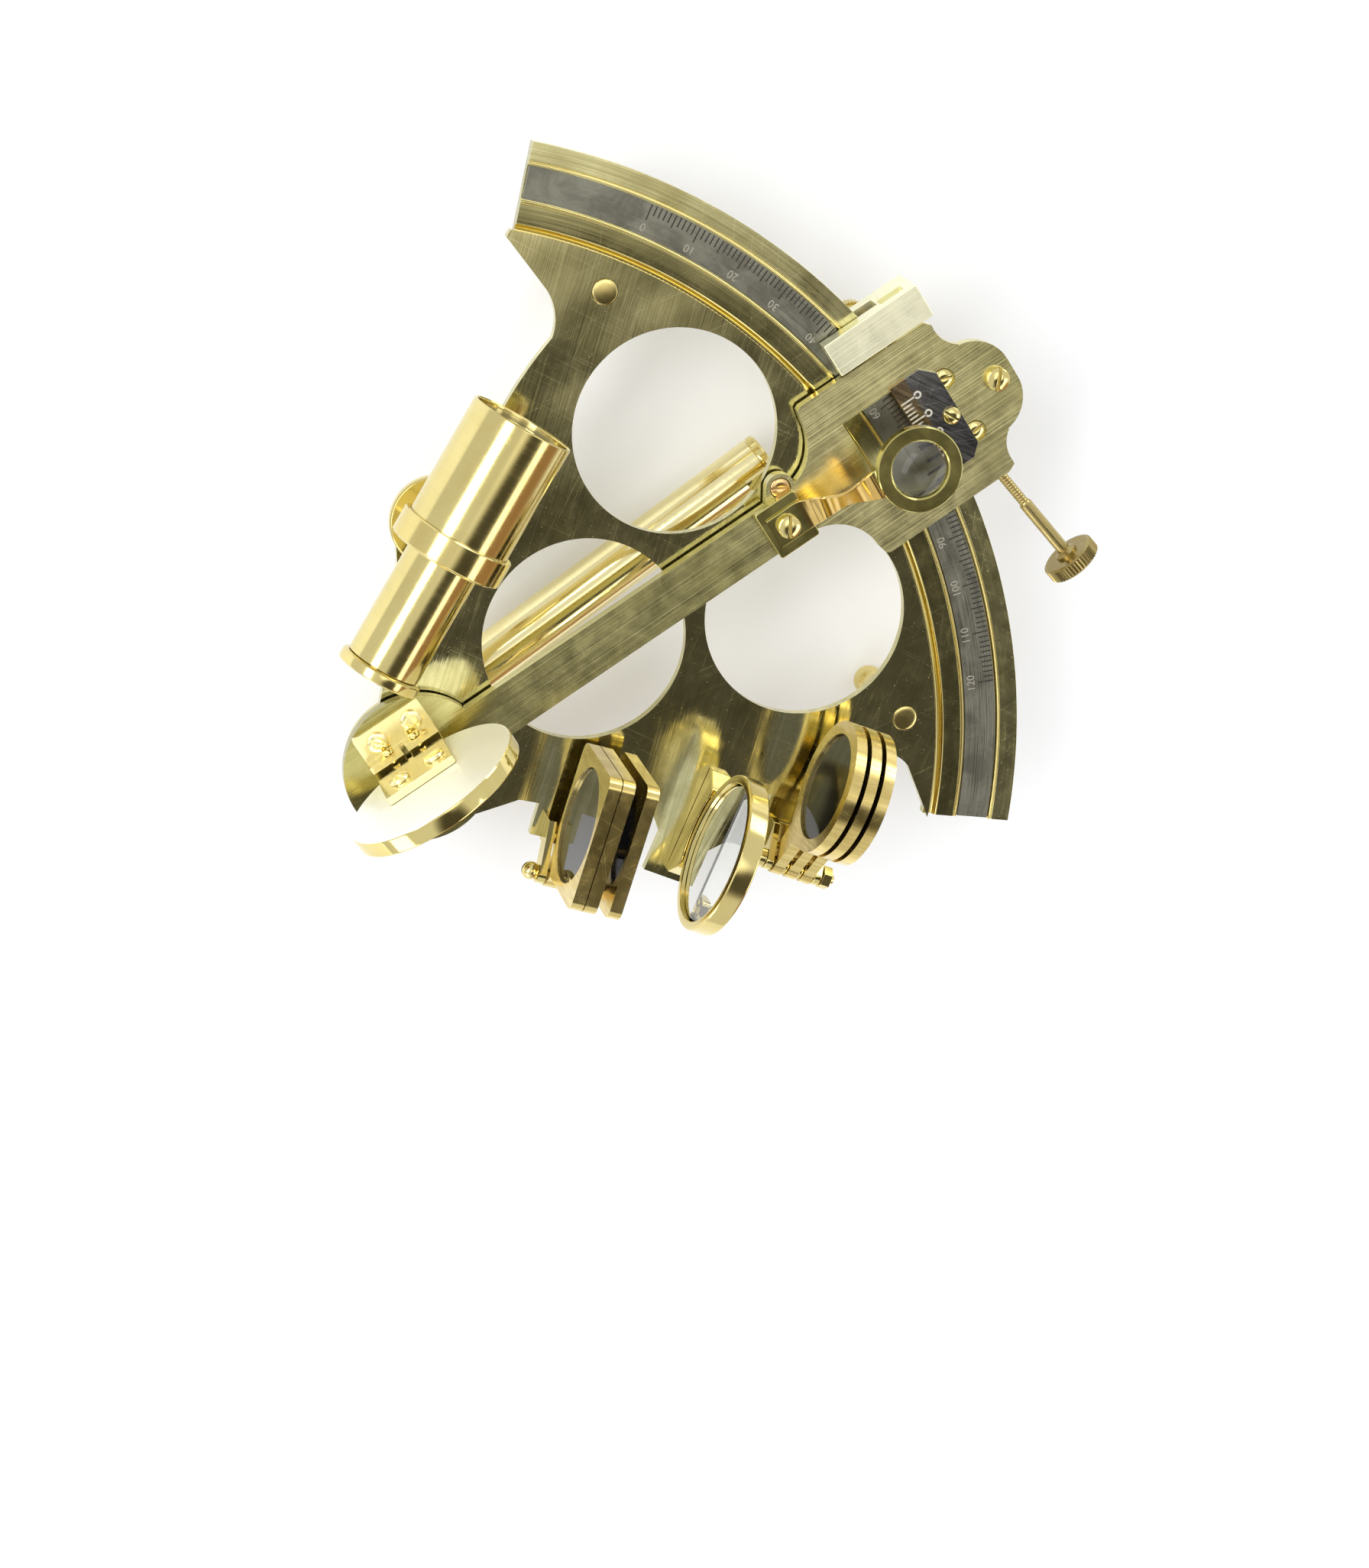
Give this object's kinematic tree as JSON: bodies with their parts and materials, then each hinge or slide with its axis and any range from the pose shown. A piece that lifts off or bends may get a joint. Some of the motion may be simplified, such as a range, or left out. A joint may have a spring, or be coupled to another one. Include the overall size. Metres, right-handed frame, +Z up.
{
  "type": "nautical sextant",
  "caption": "Brass sextant: a fan-shaped frame on legs with a graduated arc, swinging index arm with vernier and magnifier, mirrors, tip-up shades, telescope and handle.",
  "frame": {"origin": "on the index arm's pivot axis, on the plane of the three feet", "axes": "+Z up out of the front face, +Y from the pivot to the middle of the arc, +X to the right seen from the front"},
  "size_m": [0.2456, 0.2254, 0.103],
  "materials": {
    "casting_brass": "polished, with fine brushing and scratches",
    "bright_brass": "bright polished",
    "satin_brass": "satin, brushed lengthwise",
    "silvered_steel": "satin, engraved",
    "copper_screw": "coppery satin",
    "mirror": "silvered",
    "smoked_glass": "dark neutral",
    "clear_glass": "clear"
  },
  "bodies": {
    "frame": {"frame_casting": "casting_brass", "scale_strip": "silvered_steel", "left_leg": "bright_brass", "right_leg": "bright_brass", "pivot_leg": "bright_brass", "handle_tube": "bright_brass", "handle_upper_bracket": "bright_brass", "handle_lower_bracket": "bright_brass", "horizon_mirror_foot": "bright_brass", "horizon_mirror_ring": "bright_brass", "horizon_adjuster": "bright_brass", "horizon_mirror_silvered": "mirror", "horizon_mirror_clear": "clear_glass", "index_shade_bracket": "bright_brass", "index_shade_pin": "bright_brass", "horizon_shade_bracket": "bright_brass", "horizon_shade_pin": "bright_brass"},
    "index_arm": {"index_arm": "satin_brass", "pivot_shaft": "bright_brass", "arm_tip_screw": "bright_brass", "arm_lug_screw": "copper_screw", "vernier_adjuster_left": "bright_brass", "vernier_adjuster_right": "bright_brass", "vernier_plate": "silvered_steel", "vernier_screw": "bright_brass", "magnifier_base": "satin_brass", "magnifier_screw": "bright_brass", "index_mirror_base": "bright_brass", "index_mirror_upright": "bright_brass", "index_mirror_holder": "bright_brass", "index_mirror_glass": "mirror", "index_base_screw_lower": "bright_brass", "index_base_screw_upper": "bright_brass", "index_plate_screw_lower": "bright_brass", "index_plate_screw_upper": "bright_brass", "index_adjuster_lower": "bright_brass", "index_adjuster_upper": "bright_brass"},
    "magnifier": {"magnifier_arm": "bright_brass", "magnifier_lens": "clear_glass"},
    "carriage": {"clamp_carriage": "satin_brass"},
    "clamp_screw": {"clamp_thumb_screw": "bright_brass"},
    "tangent_screw": {"tangent_screw": "bright_brass"},
    "telescope": {"telescope_collar": "bright_brass", "telescope_tube": "bright_brass", "objective_lens": "clear_glass"},
    "draw_tube": {"draw_tube": "bright_brass", "eyepiece_ring": "bright_brass", "eyepiece_lens": "clear_glass"},
    "index_shade_1": {"index_shade_1_frame": "bright_brass", "index_shade_1_glass": "smoked_glass"},
    "index_shade_2": {"index_shade_2_frame": "bright_brass", "index_shade_2_glass": "smoked_glass"},
    "index_shade_3": {"index_shade_3_frame": "bright_brass", "index_shade_3_glass": "smoked_glass"},
    "horizon_shade_1": {"horizon_shade_1_frame": "bright_brass", "horizon_shade_1_glass": "smoked_glass"},
    "horizon_shade_2": {"horizon_shade_2_frame": "bright_brass", "horizon_shade_2_glass": "smoked_glass"},
    "horizon_shade_3": {"horizon_shade_3_frame": "bright_brass", "horizon_shade_3_glass": "smoked_glass"}
  },
  "joints": [
    {"name": "arm_swing", "type": "hinge", "parent": "frame", "child": "index_arm", "pos_m": [0, 0, 0.044], "axis": [0, 0, 1], "range_deg": [-26, 30]},
    {"name": "tangent_turn", "type": "hinge", "parent": "index_arm", "child": "tangent_screw", "pos_m": [0.03324, 0.18657, 0.0416], "axis": [0.9952, 0.0976, 0], "range_deg": [0, 1920]},
    {"name": "carriage_slide", "type": "slide", "parent": "index_arm", "child": "carriage", "axis": [-0.9952, -0.0976, 0], "range_m": [0, 0.0041]},
    {"name": "clamp_turn", "type": "hinge", "parent": "carriage", "child": "clamp_screw", "pos_m": [-0.0239, 0.17716, 0.035], "axis": [0, 0, 1], "range_deg": [-360, 0]},
    {"name": "magnifier_swing", "type": "hinge", "parent": "index_arm", "child": "magnifier", "pos_m": [0.00536, 0.12789, 0.052], "axis": [0, 0, 1], "range_deg": [-10, 25]},
    {"name": "telescope_swing", "type": "hinge", "parent": "frame", "child": "telescope", "pos_m": [-0.0539, 0.0496, 0.06], "axis": [0, 0, 1], "range_deg": [-110, 5]},
    {"name": "draw_slide", "type": "slide", "parent": "telescope", "child": "draw_tube", "axis": [-0.4131, 0.9107, 0], "range_m": [0, 0.026]},
    {"name": "index_shade_1_flip", "type": "hinge", "parent": "frame", "child": "index_shade_1", "pos_m": [0.0526, 0.0194, 0.0521], "axis": [0.7912, 0.6115, 0], "range_deg": [0, 95]},
    {"name": "index_shade_2_flip", "type": "hinge", "parent": "frame", "child": "index_shade_2", "pos_m": [0.0526, 0.0194, 0.0521], "axis": [0.7912, 0.6115, 0], "range_deg": [0, 95]},
    {"name": "index_shade_3_flip", "type": "hinge", "parent": "frame", "child": "index_shade_3", "pos_m": [0.0526, 0.0194, 0.0521], "axis": [0.7912, 0.6115, 0], "range_deg": [0, 95]},
    {"name": "horizon_shade_1_flip", "type": "hinge", "parent": "frame", "child": "horizon_shade_1", "pos_m": [0.09, 0.0725, 0.0526], "axis": [0.8377, 0.5461, 0], "range_deg": [0, 95]},
    {"name": "horizon_shade_2_flip", "type": "hinge", "parent": "frame", "child": "horizon_shade_2", "pos_m": [0.09, 0.0725, 0.0526], "axis": [0.8377, 0.5461, 0], "range_deg": [0, 95]},
    {"name": "horizon_shade_3_flip", "type": "hinge", "parent": "frame", "child": "horizon_shade_3", "pos_m": [0.09, 0.0725, 0.0526], "axis": [0.8377, 0.5461, 0], "range_deg": [0, 95]}
  ],
  "couplings": [
    {"joint": "carriage_slide", "follows": "tangent_turn", "m_per_rad": 0.00011937}
  ]
}
